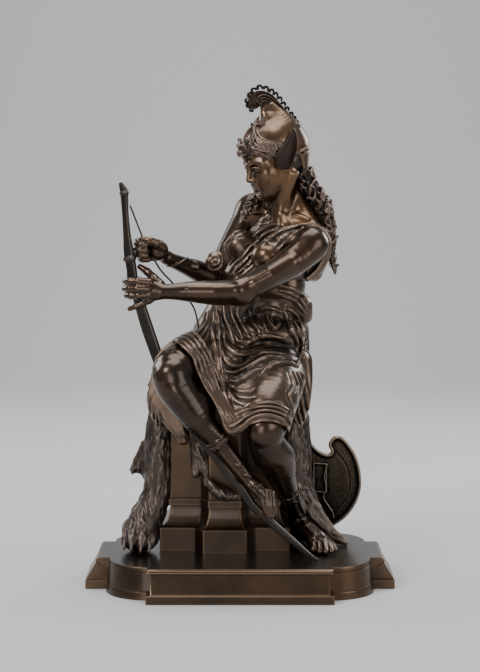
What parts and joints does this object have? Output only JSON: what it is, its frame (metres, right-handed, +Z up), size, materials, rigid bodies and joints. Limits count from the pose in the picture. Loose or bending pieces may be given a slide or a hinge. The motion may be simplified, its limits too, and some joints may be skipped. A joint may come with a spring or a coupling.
{
  "type": "amazon statue",
  "caption": "Bronze statue of a seated, helmeted amazon tending her bow on a square pier, with a crescent shield behind her and a lion skin below, on a shaped plinth",
  "frame": {"origin": "middle of the plinth's flat underside", "axes": "+Z is up, and the plinth's long side runs along X; the front of the statue, with its knees, faces -Y and the bow is on the -X side"},
  "size_m": [0.59, 0.408, 0.9555],
  "materials": {
    "base_bronze": "cast bronze with an olive-brown patina, worn to warm brown on its edges",
    "figure_bronze": "cast bronze with a dark brown patina, polished by handling on the high places",
    "skin_bronze": "cast bronze with a blackish brown patina and chased fur",
    "bow_bronze": "bronze bar with a dull grey-brown patina"
  },
  "bodies": {
    "root": {"plinth": "base_bronze", "pier": "base_bronze", "figure": "figure_bronze", "lion_skin": "skin_bronze", "shield": "skin_bronze", "bow": "bow_bronze", "bowstring": "bow_bronze"}
  },
  "joints": []
}
